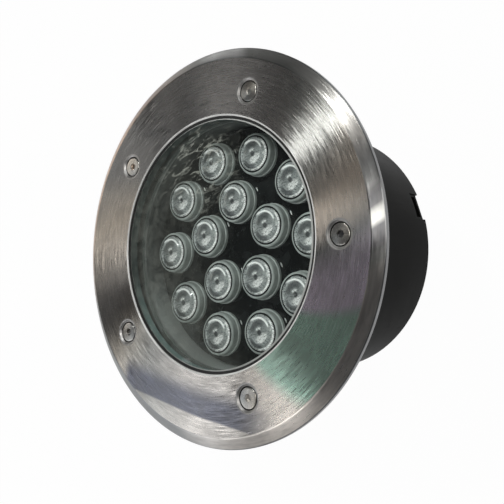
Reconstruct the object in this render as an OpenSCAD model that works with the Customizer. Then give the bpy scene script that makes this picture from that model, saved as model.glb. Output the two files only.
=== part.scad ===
// Recessed ground light: a pressed steel cover ring clamps a stepped glass and its gasket on a
// die-cast cup that holds fifteen collimator lenses over one board, and the cup hangs by its
// flange in a moulded sleeve that stays in the ground. The light points along +Z. The origin is
// at the centre of the sleeve's foot, and +X runs through one of the sleeve's cable windows.

/* [Overall] */
// Height from the foot of the sleeve to the face of the cover ring
light_h = 90; // [88:1:110]

/* [Cover ring] */
// Outer diameter of the cover ring
ring_d = 180; // [174:1:200]
// Thickness of the ring's sheet
ring_t = 2; // [1.5:0.1:2.5]
// Width of the bevel round the rim, seen from above
bevel_w = 5; // [3:0.5:7]
// Drop of the bevel from the face to the rim
bevel_drop = 3; // [1.5:0.1:4]
// Height of the straight edge below the bevel
rim_h = 1.8; // [1:0.1:3]
// Depth of the lip turned down round the opening, below the sheet
lip_h = 1.5; // [1:0.1:2]
// Radius of the bend at the opening
lip_bend = 1; // [0.4:0.1:1.4]
// Radius of the bend where the face turns into the bevel
crest_bend = 1; // [0.4:0.1:2]
// Radius of the bend where the bevel turns into the rim
edge_bend = 0.5; // [0.2:0.1:0.8]

/* [Cover screws] */
// Number of cover screws
screw_count = 5; // [3:1:8]
// Distance of the screws' axes from the edge of the ring
screw_edge = 20; // [18:0.5:21]
// Thread diameter of the cover screws
screw_d = 5; // [4:0.5:6]
// Length of a cover screw, head included
screw_l = 10; // [8:0.5:10.5]
// Diameter of a screw head
screw_head_d = 9.5; // [9:0.1:10]
// Straight rim of a screw head
screw_rim_h = 0.9; // [0.6:0.1:1]
// Width across the flats of the hex socket
socket_af = 3; // [2.5:0.1:3.5]
// Depth of the hex socket
socket_depth = 2; // [1:0.1:2.4]
// Depth of the pocket pressed in the ring round each screw
pocket_depth = 1; // [0.8:0.1:1.4]
// Width of the pocket's floor round a screw head
pocket_floor_w = 0.6; // [0.4:0.1:1]
// Width of the pocket's sloping wall
pocket_slope_w = 1; // [0.6:0.1:1.4]

/* [Glass and gasket] */
// Full thickness of the glass
glass_t = 8; // [7.5:0.5:12]
// Depth of the glass's face below the face of the ring
glass_sink = 0.4; // [0.2:0.1:0.8]
// Gap all round between the glass's face and the ring
glass_gap = 1.2; // [0.8:0.1:1.6]
// Width of the glass's lower step that the ring clamps
glass_step_w = 4.7; // [4:0.1:5.2]
// Ground chamfer on the edges of the glass
glass_chamfer = 0.6; // [0.3:0.1:1]
// Width of the ledge that carries the edge of the glass
ledge_w = 4.5; // [3.5:0.1:4.6]
// Thickness of the gasket's two clamped lips
gasket_t = 1.5; // [1:0.1:2]
// Thickness of the gasket's outer web
gasket_web = 1; // [0.8:0.1:1.4]
// Depth of the gasket's upstand below the face of the ring
upstand_sink = 0.7; // [0.5:0.1:1.2]

/* [Cup] */
// Wall thickness of the casting
wall_t = 2.4; // [2:0.1:3]
// Thickness of the cup's flange
flange_t = 3; // [2:0.1:4]
// Thickness of the rim that stands round the gasket
rim_wall_t = 2.8; // [2:0.1:3.4]
// Distance of the screws' axes from the outside of that rim
rim_gap = 4.6; // [4:0.1:5]
// Radius of a screw boss
boss_r = 6; // [5.5:0.1:7]
// Width of the flange outside the bosses
flange_edge_w = 0.8; // [0.4:0.1:2]
// Thickness of the shoulder that carries the heat plate
shoulder_t = 5; // [4.5:0.1:6]
// Width of that shoulder inside the lens chamber
shoulder_w = 10; // [9:0.5:11]
// Height of the driver bay
bay_h = 32.4; // [30:0.2:34]
// Thickness of the bay's floor
floor_t = 4; // [3:0.1:5]
// Number of cooling fins
fin_count = 24; // [12:1:36]
// Thickness of a fin at its root
fin_root_t = 2.4; // [1.8:0.1:3]
// Thickness of a fin at its tip
fin_tip_t = 1.4; // [1:0.1:1.8]

/* [Light engine] */
// Depth of the board's face below the face of the ring
board_depth = 21; // [19:0.5:24]
// Thickness of the lamp board
board_t = 1.6; // [1:0.1:2]
// Thickness of the thermal pad
pad_t = 0.4; // [0.2:0.1:1]
// Thickness of the heat plate
plate_t = 2.6; // [2:0.1:4]
// Number of lenses on the outer circle
outer_count = 10; // [10:1:14]
// Number of lenses on the inner circle
inner_count = 5; // [3:1:5]
// Gap between two lens holders on the outer circle
outer_gap = 5.7; // [5:0.1:8]
// Gap between the outer lens holders and the edge of the board
edge_gap = 2.5; // [1.5:0.1:3]
// Gap between the outer and the inner circle of lens holders
row_gap = 1.8; // [1:0.1:2.2]

/* [Lens] */
// Height of a lens holder
holder_h = 5; // [4.6:0.1:7]
// Wall of a lens holder beside the lens
holder_wall = 1.4; // [1:0.1:1.8]
// Width of the foot round a lens holder
holder_foot_w = 0.5; // [0.3:0.1:0.6]
// Height of the foot round a lens holder
holder_foot_h = 1.3; // [0.8:0.1:1.6]
// Depth of the lens's seat below the top of its holder
lens_seat_h = 1.4; // [1:0.1:2]
// Height of the lens's milled band above the top of its holder
lens_rise = 0.6; // [0.3:0.1:1]
// Width of the milled band round the lens's face
lens_band_w = 1.3; // [1:0.1:1.5]
// Width of the groove inside that band
lens_groove_w = 0.7; // [0.4:0.1:0.9]
// Depth of that groove
lens_groove_h = 0.5; // [0.3:0.1:0.6]
// Rise of the face from the groove to the dimple
lens_crown_h = 0.4; // [0.2:0.05:0.6]

/* [Sleeve] */
// Wall thickness of the sleeve
sleeve_t = 2.5; // [2:0.1:3.5]
// Gap all round between the cup and the sleeve
sleeve_gap = 0.6; // [0.3:0.1:1.2]
// Thickness of the sleeve's flange
sleeve_flange_t = 3; // [2:0.1:4]
// Inward reach of the lip round the sleeve's foot
foot_lip_w = 6; // [3:0.5:8]
// Thickness of the lip round the sleeve's foot
foot_lip_t = 2.5; // [2:0.1:3]
// Number of gussets under the sleeve's flange
gusset_count = 10; // [6:1:16]
// Height of a gusset
gusset_h = 12; // [8:0.5:20]
// Thickness of a gusset
gusset_t = 2.5; // [1.5:0.1:3.5]
// Width of a cable window
cable_window_w = 11; // [9:0.5:16]
// Height of a cable window
cable_window_h = 5.5; // [4.5:0.5:8]

/* [Cable gland] */
// Thread diameter of the gland
gland_d = 16; // [14:0.5:18]
// Width across the flats of the gland's hexes
gland_af = 22; // [21:0.5:24]
// Diameter of the bore that the cable goes through
cable_d = 8; // [6:0.5:9]
// Height of the gland's fixed hex
gland_hex_h = 4; // [3:0.5:5]
// Length of the gland's nut
gland_nut_l = 13; // [12:0.5:14]
// Distance of the gland's axis from the wall of the driver bay
gland_edge = 14; // [13:0.5:15]

/* [Hidden] */
// Smoothness of round forms
$fn = 96;
// Reach of a cut past the surface that it opens
overrun = 1;
// Clearance between rigid pieces that slip into each other
slip = 0.1;
// Depth to which a rib or boss sinks in the wall that carries it
root = 0.5;
// Angle of the first cover screw
screw_angle = 270;
// Angles of the first lens on each circle
outer_angle = 92.9;
inner_angle = 76.2;
// Angle of the gland
gland_angle = 270;
// Points along a quarter of a small bend
bend_steps = 5;

// Heights of the cover ring
face_z = light_h;
ring_under_z = face_z - ring_t;
lip_z = ring_under_z - lip_h;
rim_z = face_z - bevel_drop - rim_h;
pocket_z = face_z - pocket_depth;
boss_top_z = pocket_z - ring_t;

// Radii of the cover ring
ring_r = ring_d / 2;
bevel_r = ring_r - bevel_w;
bevel_l = norm([bevel_w, bevel_drop]);
bevel_angle = atan(bevel_drop / bevel_w);
crest_r = bevel_r - crest_bend * tan(bevel_angle / 2);
edge_z = face_z - bevel_drop - edge_bend * tan((90 - bevel_angle) / 2);
under_bevel_r = bevel_r - ring_t * (bevel_l - bevel_w) / bevel_drop;
under_rim_z = face_z - bevel_drop - ring_t * (bevel_l - bevel_drop) / bevel_w;

// Cover screws, whose heads have slopes of 45 degrees
screw_r = ring_r - screw_edge;
screw_head_r = screw_head_d / 2;
screw_top_z = pocket_z + screw_rim_h;
screw_cone_h = screw_head_r - screw_d / 2;
screw_tip_z = screw_top_z - screw_l;
screw_chamfer = 0.3;
pocket_r = screw_head_r + pocket_floor_w;

// Rim, gasket, glass and opening, from the screws inwards
rim_out_r = screw_r - rim_gap;
rim_in_r = rim_out_r - rim_wall_t;
gasket_r = rim_in_r - slip;
glass_step_r = gasket_r - gasket_web;
glass_r = glass_step_r - glass_step_w;
window_r = glass_r + glass_gap;
glass_top_z = face_z - glass_sink;
glass_under_z = glass_top_z - glass_t;
glass_step_z = lip_z - gasket_t;
ledge_z = glass_under_z - gasket_t;
upstand_z = face_z - upstand_sink;

// Heights of the light engine
board_z = face_z - board_depth;
pad_z = board_z - board_t;
plate_z = pad_z - pad_t;
shoulder_z = plate_z - plate_t;

// Cup
cup_r = glass_step_r - ledge_w;
cup_out_r = cup_r + wall_t;
flange_r = screw_r + boss_r + flange_edge_w;
flange_z = ledge_z - flange_t;
bay_r = cup_r - shoulder_w;
bay_out_r = bay_r + wall_t;
bay_floor_z = shoulder_z - bay_h;
cup_under_z = bay_floor_z - floor_t;
fin_tip_r = cup_out_r;

// Board and the two circles of lens holders, which are as wide as their gaps allow
board_gap = 0.8;
board_r = cup_r - board_gap;
lens_count = outer_count + inner_count;
outer_step = 360 / outer_count;
inner_step = 360 / inner_count;
half_step_sine = sin(outer_step / 2);
holder_foot_r = ((board_r - edge_gap) * half_step_sine - outer_gap / 2) / (1 + half_step_sine);
holder_r = holder_foot_r - holder_foot_w;
outer_r = board_r - edge_gap - holder_foot_r;
inner_r = outer_r - row_gap - 2 * holder_foot_r;
// Number of board screws, their thread, head, length and the wall left under them
board_screw_count = 3;
board_screw_d = 3;
board_screw_head_d = 5.5;
board_screw_head_h = 1.8;
board_screw_floor = 1;
board_screw_r = (bay_r + cup_r) / 2;
board_screw_tip_z = shoulder_z - shoulder_t + board_screw_floor + slip;
// Hole that the lamp wires come up through
wire_hole_r = 2.2;
wire_r = 0.8;
wire_pitch = 2.2;
wire_bend = 3;
wire_angle = outer_angle - (round(outer_angle / outer_step - 0.5) + 0.5) * outer_step;
wire_circle_r = bay_r - wire_r - wire_hole_r;

// Lamp: a square base with a dome
lamp_w = 3.5;
lamp_base_h = 0.9;
lamp_dome_r = 1.3;

// Lens and holder
holder_top_z = board_z + holder_h;
holder_land = 0.4;
holder_bend = holder_wall - holder_land;
lens_seat_r = holder_r - holder_wall;
lens_seat_w = 1;
lens_r = lens_seat_r - 1.5 * slip;
lens_band_z = holder_top_z + lens_rise;
lens_top_z = lens_band_z + lens_crown_h;
lens_seat_z = holder_top_z - lens_seat_h;
lens_base_z = board_z + lamp_base_h + 2 * slip;
lens_hollow_gap = 0.6;
lens_hollow_wall = 1.7;
lens_hollow_r = lamp_dome_r + lens_hollow_gap;
lens_hollow_h = lamp_dome_r + lens_hollow_gap;
lens_base_r = lens_hollow_r + lens_hollow_wall;
lens_chamfer = 0.2;
lens_dimple_r = 1.2;
lens_dimple_h = 0.5;
lens_groove_r = lens_r - lens_band_w;
lens_face_r = lens_groove_r - lens_groove_w;
lens_crown_r = (lens_face_r * lens_face_r + lens_crown_h * lens_crown_h) / 2 / lens_crown_h;

// Sleeve
sleeve_in_r = cup_out_r + sleeve_gap;
sleeve_r = sleeve_in_r + sleeve_t;
sleeve_flange_r = flange_r + 0.4 * flange_edge_w;
sleeve_under_z = flange_z - sleeve_flange_t;
sleeve_bend = 0.6;
gusset_edge = 2;
gusset_r = sleeve_flange_r - gusset_edge;
gusset_tip_t = 1.5;
window_sill_h = 0.5;
window_sill_z = foot_lip_t + window_sill_h;
// Relief of the foot below a cable window: its depth, its overhang and its lower edge
relief_depth = 0.4 * sleeve_t;
relief_edge = 1.3;
relief_w = cable_window_w + 2 * relief_edge;
relief_z = 0.64 * foot_lip_t;

// Driver, as long and wide as its gaps to the bay's wall allow
driver_y = 6;
driver_end_gap = 7;
driver_corner_gap = 5.2;
driver_h = 20;
driver_wall = 1.5;
driver_lid_t = 1.5;
driver_pad_h = 2;
driver_ear_l = 9;
driver_ear_t = 2;
driver_screw_d = 3;
driver_screw_head_d = 5.5;
driver_screw_head_h = 1.8;
driver_screw_l = 6;
driver_l = 2 * (bay_r - driver_end_gap - driver_ear_l);
driver_w = 2 * (sqrt(pow(bay_r - driver_corner_gap, 2) - pow(driver_l / 2, 2)) - driver_y);
driver_z = bay_floor_z + driver_pad_h;
driver_screw_x = driver_l / 2 + driver_ear_l / 2;
driver_post_h = 3;
driver_post_w = 5;
driver_board_t = 1.6;
driver_board_z = driver_z + driver_wall + driver_post_h;
driver_top_z = driver_board_z + driver_board_t;
driver_room = driver_z + driver_h - driver_top_z;
wire_exit_z = driver_top_z + 0.58 * driver_room;

// Gland
gland_r = bay_r - gland_edge;
gland_thread_r = gland_d / 2;
gland_hex_r = gland_af / 2 / cos(30);
gland_boss_w = 1;
gland_boss_r = gland_hex_r + gland_boss_w;
gland_boss_h = 2;
gland_washer_t = 1.2;
gland_seat_z = cup_under_z - gland_boss_h;
gland_hex_top_z = gland_seat_z - gland_washer_t;
gland_hex_z = gland_hex_top_z - gland_hex_h;
gland_gap = 0.8;
gland_nut_top_z = gland_hex_z - gland_gap;
gland_nut_z = gland_nut_top_z - gland_nut_l;
gland_tail_r = gland_thread_r;
gland_nut_wall = 1.5;
gland_cap_t = 2.5;
gland_tail_z = gland_nut_z + gland_cap_t;
gland_in_h = 1.5;
gland_seal_t = 1.6;
gland_bore_r = cable_d / 2 + gland_seal_t;
gland_mouth_gap = 0.7;
gland_mouth_r = cable_d / 2 + gland_mouth_gap;
gland_mouth_wall = 2.3;
gland_dome_h = 3;
gland_dome_r = gland_mouth_r + gland_mouth_wall;

// Names of the lenses and of their holders
function numbered(name, i) = str(name, i < 9 ? "_0" : "_", i + 1);
lens_names = [for (i = [0 : lens_count - 1]) numbered("lens", i)];
holder_names = [for (i = [0 : lens_count - 1]) numbered("lens_holder", i)];

// Points of an arc round [x, y], from one angle to another
function arc(x, y, r, from, to) = [
    for (i = [0 : bend_steps])
        let (a = from + (to - from) * i / bend_steps)
            [x + r * cos(a), y + r * sin(a)]
];

// Angle and radius of a lens by its number, the outer circle first
function lens_at(i) = i < outer_count
    ? [outer_r, outer_angle - i * outer_step]
    : [inner_r, inner_angle - (i - outer_count) * inner_step];

// Angle of a board screw, halfway between two outer lenses
function board_screw_at(i) =
    outer_angle - (floor(i * outer_count / board_screw_count) + 0.5) * outer_step;

module polar(r, a) {
    rotate([0, 0, a])
        translate([r, 0, 0])
            children();
}

module around(count, r, a) {
    for (i = [0 : count - 1])
        polar(r, a + i * 360 / count)
            children();
}

module disc(z, top, r) {
    translate([0, 0, z])
        cylinder(h = top - z, r = r);
}

module cone(z, top, low_r, high_r) {
    translate([0, 0, z])
        cylinder(h = top - z, r1 = low_r, r2 = high_r);
}

module hexagon(z, top, corner_r) {
    translate([0, 0, z])
        cylinder(h = top - z, r = corner_r, $fn = 6);
}

module block(x, y, z, top) {
    translate([-x / 2, -y / 2, z])
        cube([x, y, top - z]);
}

module each_screw() {
    around(screw_count, screw_r, screw_angle)
        children();
}

module each_lens() {
    for (i = [0 : lens_count - 1])
        polar(lens_at(i)[0], lens_at(i)[1])
            children();
}

module each_board_screw() {
    for (i = [0 : board_screw_count - 1])
        polar(board_screw_r, board_screw_at(i))
            children();
}

module each_driver_screw() {
    for (side = [-1, 1])
        translate([side * driver_screw_x, driver_y, 0])
            children();
}

module at_gland() {
    polar(gland_r, gland_angle)
        children();
}

// Section of the pressed ring: turned-down lip, flat face, bevel and rim
module ring_section() {
    polygon(concat(
        [[window_r + ring_t, lip_z], [window_r, lip_z]],
        arc(window_r + lip_bend, face_z - lip_bend, lip_bend, 180, 90),
        arc(crest_r, face_z - crest_bend, crest_bend, 90, 90 - bevel_angle),
        arc(ring_r - edge_bend, edge_z, edge_bend, 90 - bevel_angle, 0),
        [[ring_r, rim_z], [ring_r - ring_t, rim_z], [ring_r - ring_t, under_rim_z]],
        [[under_bevel_r, ring_under_z], [window_r + ring_t, ring_under_z]]
    ));
}

module cover_ring() {
    color("silver")
        difference() {
            union() {
                rotate_extrude()
                    ring_section();
                each_screw()
                    cone(boss_top_z, ring_under_z + root, pocket_r, pocket_r + pocket_slope_w);
            }
            each_screw() {
                cone(pocket_z, face_z, pocket_r, pocket_r + pocket_slope_w);
                disc(face_z, face_z + overrun, pocket_r + pocket_slope_w);
                cone(pocket_z - screw_cone_h, pocket_z, screw_d / 2 + slip, screw_head_r + slip);
                disc(boss_top_z - overrun, pocket_z, screw_d / 2 + slip);
            }
        }
}

module cover_screws() {
    color("gainsboro")
        each_screw()
            difference() {
                rotate_extrude()
                    polygon([
                        [0, screw_tip_z],
                        [screw_d / 2 - slip - screw_chamfer, screw_tip_z],
                        [screw_d / 2 - slip, screw_tip_z + screw_chamfer],
                        [screw_d / 2 - slip, pocket_z - screw_cone_h - slip],
                        [screw_head_r, pocket_z],
                        [screw_head_r, screw_top_z - screw_chamfer],
                        [screw_head_r - screw_chamfer, screw_top_z],
                        [0, screw_top_z]
                    ]);
                hexagon(screw_top_z - socket_depth, screw_top_z + overrun, socket_af / 2 / cos(30));
            }
}

module glass() {
    color("lightblue", 0.4)
        rotate_extrude()
            polygon([
                [0, glass_under_z],
                [glass_step_r - glass_chamfer, glass_under_z],
                [glass_step_r, glass_under_z + glass_chamfer],
                [glass_step_r, glass_step_z],
                [glass_r, glass_step_z],
                [glass_r, glass_top_z - glass_chamfer],
                [glass_r - glass_chamfer, glass_top_z],
                [0, glass_top_z]
            ]);
}

// A channel round the glass's step, with an upstand that fills the gap to the ring
module glass_gasket() {
    color("black")
        rotate_extrude()
            polygon([
                [cup_r, ledge_z],
                [gasket_r, ledge_z],
                [gasket_r, lip_z],
                [window_r - slip, lip_z],
                [window_r - slip, upstand_z],
                [glass_r + slip, upstand_z],
                [glass_r + slip, glass_step_z],
                [glass_step_r + slip, glass_step_z],
                [glass_step_r + slip, glass_under_z],
                [cup_r, glass_under_z]
            ]);
}

// Section of the casting: bay, shoulder, lens chamber, flange and rim
module cup_section() {
    polygon([
        [0, cup_under_z],
        [bay_out_r, cup_under_z],
        [bay_out_r, shoulder_z - shoulder_t],
        [cup_out_r, shoulder_z - shoulder_t],
        [cup_out_r, flange_z],
        [flange_r, flange_z],
        [flange_r, ledge_z],
        [rim_out_r, ledge_z],
        [rim_out_r, boss_top_z],
        [rim_in_r, boss_top_z],
        [rim_in_r, ledge_z],
        [cup_r, ledge_z],
        [cup_r, shoulder_z],
        [bay_r, shoulder_z],
        [bay_r, bay_floor_z],
        [0, bay_floor_z]
    ]);
}

module fins() {
    around(fin_count, 0, 0)
        translate([0, 0, cup_under_z])
            linear_extrude(height = shoulder_z - shoulder_t + root - cup_under_z)
                polygon([
                    [bay_out_r - root, -fin_root_t / 2],
                    [fin_tip_r, -fin_tip_t / 2],
                    [fin_tip_r, fin_tip_t / 2],
                    [bay_out_r - root, fin_root_t / 2]
                ]);
}

module housing() {
    color("dimgray")
        difference() {
            union() {
                rotate_extrude()
                    cup_section();
                fins();
                each_screw()
                    disc(ledge_z - root, boss_top_z, boss_r);
                at_gland()
                    disc(gland_seat_z, cup_under_z + root, gland_boss_r);
                each_driver_screw()
                    disc(bay_floor_z - root, driver_z, driver_ear_l / 2);
            }
            each_screw() {
                disc(screw_tip_z - slip, boss_top_z + overrun, screw_d / 2);
                cone(pocket_z - screw_cone_h, boss_top_z, screw_d / 2, screw_d / 2 + slip
                    + boss_top_z - pocket_z + screw_cone_h);
            }
            each_board_screw()
                disc(board_screw_tip_z - slip, shoulder_z + overrun, board_screw_d / 2);
            each_driver_screw()
                disc(driver_z + driver_ear_t - driver_screw_l - slip, driver_z + overrun,
                    driver_screw_d / 2);
            at_gland()
                disc(gland_seat_z - overrun, bay_floor_z + overrun, gland_thread_r + slip);
        }
}

// A round sheet with the holes for the board screws and the lamp wires
module engine_disc(z, top) {
    difference() {
        disc(z, top, board_r);
        each_board_screw()
            disc(z - overrun, top + overrun, board_screw_d / 2 + slip);
        polar(wire_circle_r, wire_angle)
            disc(z - overrun, top + overrun, wire_hole_r);
    }
}

module heat_plate() {
    color("silver")
        engine_disc(shoulder_z, plate_z);
}

module thermal_pad() {
    color("lightgray")
        engine_disc(plate_z, pad_z);
}

module led_board() {
    color("#151716")
        engine_disc(pad_z, board_z);
}

module board_screws() {
    color("#202020")
        each_board_screw() {
            disc(board_screw_tip_z, board_z + root, board_screw_d / 2 - slip);
            disc(board_z, board_z + board_screw_head_h, board_screw_head_d / 2);
        }
}

module leds() {
    color("khaki")
        each_lens() {
            block(lamp_w, lamp_w, board_z, board_z + lamp_base_h);
            translate([0, 0, board_z + lamp_base_h])
                intersection() {
                    sphere(r = lamp_dome_r);
                    disc(-root, lamp_dome_r, lamp_dome_r);
                }
        }
}

// One lamp wire: up from the driver's board, out through its case and up to the lamp board
module lamp_wire(y) {
    start_x = driver_l / 2 - 2 * wire_bend;
    end_x = wire_circle_r;
    run_z = wire_exit_z;
    translate([start_x, y, 0])
        disc(driver_top_z, run_z - wire_bend, wire_r);
    translate([start_x + wire_bend, y, run_z - wire_bend])
        rotate([90, 0, 0])
            rotate_extrude(angle = 90, start = 90)
                translate([wire_bend, 0])
                    circle(r = wire_r);
    translate([start_x + wire_bend, y, run_z])
        rotate([0, 90, 0])
            disc(0, end_x - start_x - 2 * wire_bend, wire_r);
    translate([end_x - wire_bend, y, run_z + wire_bend])
        rotate([90, 0, 0])
            rotate_extrude(angle = 90, start = 270)
                translate([wire_bend, 0])
                    circle(r = wire_r);
    translate([end_x, y, 0])
        disc(run_z + wire_bend, board_z + root, wire_r);
}

module led_wires() {
    color("firebrick")
        rotate([0, 0, wire_angle])
            for (side = [-1, 1])
                lamp_wire(side * wire_pitch / 2);
}

module lens_holder(i) {
    color("#9aa5a0")
        polar(lens_at(i)[0], lens_at(i)[1])
            rotate_extrude()
                polygon(concat(
                    [[lens_seat_r - lens_seat_w, board_z], [holder_foot_r, board_z]],
                    [[holder_foot_r, board_z + holder_foot_h], [holder_r, board_z + holder_foot_h]],
                    arc(holder_r - holder_bend, holder_top_z - holder_bend, holder_bend, 0, 90),
                    [[lens_seat_r, holder_top_z], [lens_seat_r, lens_seat_z]],
                    [[lens_seat_r - lens_seat_w, lens_seat_z]]
                ));
}

module lens(i) {
    color("white", 0.6)
        polar(lens_at(i)[0], lens_at(i)[1])
            rotate_extrude()
                polygon(concat(
                    [[0, lens_base_z + lens_hollow_h]],
                    [[lens_hollow_r, lens_base_z + lens_hollow_h], [lens_hollow_r, lens_base_z]],
                    [[lens_base_r, lens_base_z]],
                    [[lens_seat_r - lens_seat_w - 2 * slip, lens_seat_z], [lens_r, lens_seat_z]],
                    [[lens_r, lens_band_z - lens_chamfer], [lens_r - lens_chamfer, lens_band_z]],
                    [[lens_groove_r, lens_band_z]],
                    [[lens_groove_r - lens_groove_w / 2, lens_band_z - lens_groove_h]],
                    arc(0, lens_top_z - lens_crown_r, lens_crown_r,
                        acos(lens_face_r / lens_crown_r), acos(lens_dimple_r / lens_crown_r)),
                    [[0, lens_top_z - lens_dimple_h]]
                ));
}

module at_driver() {
    translate([0, driver_y, 0])
        children();
}

module driver_case() {
    inner_l = driver_l - 2 * driver_wall;
    inner_w = driver_w - 2 * driver_wall;
    color("white")
        difference() {
            union() {
                at_driver()
                    difference() {
                        block(driver_l, driver_w, driver_z, driver_z + driver_h);
                        block(inner_l, inner_w, driver_z + driver_wall, driver_z + driver_h + overrun);
                    }
                at_driver()
                    for (x = [-1, 1], y = [-1, 1])
                        translate([x * (inner_l - driver_post_w) / 2, y * (inner_w - driver_post_w) / 2, 0])
                            block(driver_post_w, driver_post_w, driver_z, driver_board_z);
                at_driver()
                    difference() {
                        block(driver_l + 2 * driver_ear_l, driver_ear_l, driver_z, driver_z + driver_ear_t);
                        block(inner_l, driver_ear_l + overrun, driver_z - overrun, driver_z + driver_h);
                    }
            }
            each_driver_screw()
                disc(driver_z - overrun, driver_z + driver_ear_t + overrun, driver_screw_d / 2 + slip);
            rotate([0, 0, wire_angle])
                for (side = [-1, 1])
                    translate([driver_l / 2 - wire_bend, side * wire_pitch / 2, wire_exit_z])
                        rotate([0, 90, 0])
                            disc(0, 2 * wire_bend, wire_r + slip);
        }
}

module driver_lid() {
    color("white")
        at_driver()
            block(driver_l, driver_w, driver_z + driver_h, driver_z + driver_h + driver_lid_t);
}

module driver_board() {
    board_l = driver_l - 2 * driver_wall - 2 * slip;
    board_w = driver_w - 2 * driver_wall - 2 * slip;
    color("darkgreen")
        at_driver()
            block(board_l, board_w, driver_board_z, driver_top_z);
}

// Transformer, filter capacitors and choke on the driver's board
module driver_parts() {
    core_l = driver_l / 3;
    core_w = driver_w / 2.4;
    coil_r = core_w / 2.6;
    core_h = 0.8 * driver_room;
    cap_r = driver_w / 10;
    cap_h = 0.83 * driver_room;
    small_cap_r = driver_w / 14;
    small_cap_h = 0.65 * driver_room;
    color("#303030")
        at_driver() {
            translate([-core_l / 4, 0, 0]) {
                block(core_l, core_w, driver_top_z, driver_top_z + core_h);
                disc(driver_top_z, driver_top_z + core_h + root, coil_r);
            }
            for (side = [-1, 1])
                translate([-core_l, side * driver_w / 4, 0])
                    disc(driver_top_z, driver_top_z + cap_h, cap_r);
            translate([core_l / 2, -driver_w / 3, 0])
                disc(driver_top_z, driver_top_z + small_cap_h, small_cap_r);
            translate([core_l / 2, driver_w / 3, 0])
                disc(driver_top_z, driver_top_z + small_cap_h, small_cap_r);
        }
}

module driver_screws() {
    ear_z = driver_z + driver_ear_t;
    color("gainsboro")
        each_driver_screw() {
            disc(ear_z - driver_screw_l, ear_z + root, driver_screw_d / 2 - slip);
            disc(ear_z, ear_z + driver_screw_head_h, driver_screw_head_d / 2);
        }
}

module gland_body() {
    color("#1c1c1c")
        at_gland()
            difference() {
                union() {
                    disc(gland_hex_z, bay_floor_z + gland_in_h, gland_thread_r);
                    hexagon(gland_hex_z, gland_hex_top_z, gland_hex_r);
                    disc(gland_tail_z, gland_hex_z + root, gland_tail_r);
                }
                disc(gland_tail_z - overrun, bay_floor_z + gland_in_h + overrun, gland_bore_r);
            }
}

module gland_washer() {
    color("black")
        at_gland()
            difference() {
                disc(gland_hex_top_z, gland_seat_z, gland_hex_r);
                disc(gland_hex_top_z - overrun, gland_seat_z + overrun, gland_thread_r + slip);
            }
}

module gland_seal() {
    color("#3a3a3a")
        at_gland()
            difference() {
                disc(gland_tail_z, gland_hex_z, gland_bore_r - slip);
                disc(gland_tail_z - overrun, gland_hex_z + overrun, cable_d / 2);
            }
}

module gland_nut() {
    hex_z = gland_nut_z + gland_dome_h;
    color("#1c1c1c")
        at_gland()
            difference() {
                union() {
                    hexagon(hex_z, gland_nut_top_z, gland_hex_r);
                    cone(gland_nut_z, hex_z, gland_dome_r, gland_thread_r + gland_nut_wall);
                }
                disc(gland_tail_z, gland_nut_top_z + overrun, gland_tail_r + slip);
                disc(gland_nut_z - overrun, gland_nut_top_z, gland_mouth_r);
            }
}

// Section of the sleeve: foot lip, wall and flange
module sleeve_section() {
    polygon(concat(
        [[sleeve_in_r - foot_lip_w, 0]],
        arc(sleeve_r - sleeve_bend, sleeve_bend, sleeve_bend, 270, 360),
        [[sleeve_r, sleeve_under_z]],
        arc(sleeve_flange_r - sleeve_bend, sleeve_under_z + sleeve_bend, sleeve_bend, 270, 360),
        arc(sleeve_flange_r - sleeve_bend, flange_z - sleeve_bend, sleeve_bend, 0, 90),
        [[sleeve_in_r, flange_z], [sleeve_in_r, foot_lip_t]],
        [[sleeve_in_r - foot_lip_w, foot_lip_t]]
    ));
}

module gusset() {
    translate([0, gusset_t / 2, 0])
        rotate([90, 0, 0])
            linear_extrude(height = gusset_t)
                polygon([
                    [sleeve_r - root, sleeve_under_z + root],
                    [sleeve_r - root, sleeve_under_z - gusset_h],
                    [sleeve_r + gusset_tip_t, sleeve_under_z - gusset_h],
                    [gusset_r, sleeve_under_z - gusset_tip_t],
                    [gusset_r, sleeve_under_z + root]
                ]);
}

// A cable window through the wall, and the relief of the foot below it
module cable_window() {
    translate([sleeve_in_r - foot_lip_w, -cable_window_w / 2, window_sill_z])
        cube([foot_lip_w + 2 * sleeve_t, cable_window_w, cable_window_h]);
    translate([sleeve_r - relief_depth, -relief_w / 2, -overrun])
        cube([2 * sleeve_t, relief_w, window_sill_z + cable_window_h + overrun]);
    translate([sleeve_in_r, -relief_w / 2, -overrun])
        cube([2 * sleeve_t, relief_w, relief_z + overrun]);
}

module sleeve() {
    color("#1b1b1b")
        difference() {
            union() {
                rotate_extrude()
                    sleeve_section();
                around(gusset_count, 0, 180 / gusset_count)
                    gusset();
            }
            around(2, 0, 0)
                cable_window();
        }
}

cover_ring();
cover_screws();
glass();
glass_gasket();
housing();
heat_plate();
thermal_pad();
led_board();
board_screws();
leds();
led_wires();
for (i = [0 : lens_count - 1])
    lens_holder(i);
for (i = [0 : lens_count - 1])
    lens(i);
driver_case();
driver_lid();
driver_board();
driver_parts();
driver_screws();
gland_body();
gland_washer();
gland_seal();
gland_nut();
sleeve();
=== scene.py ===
import math

import bmesh
import bpy
from mathutils import Matrix, Vector


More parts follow.
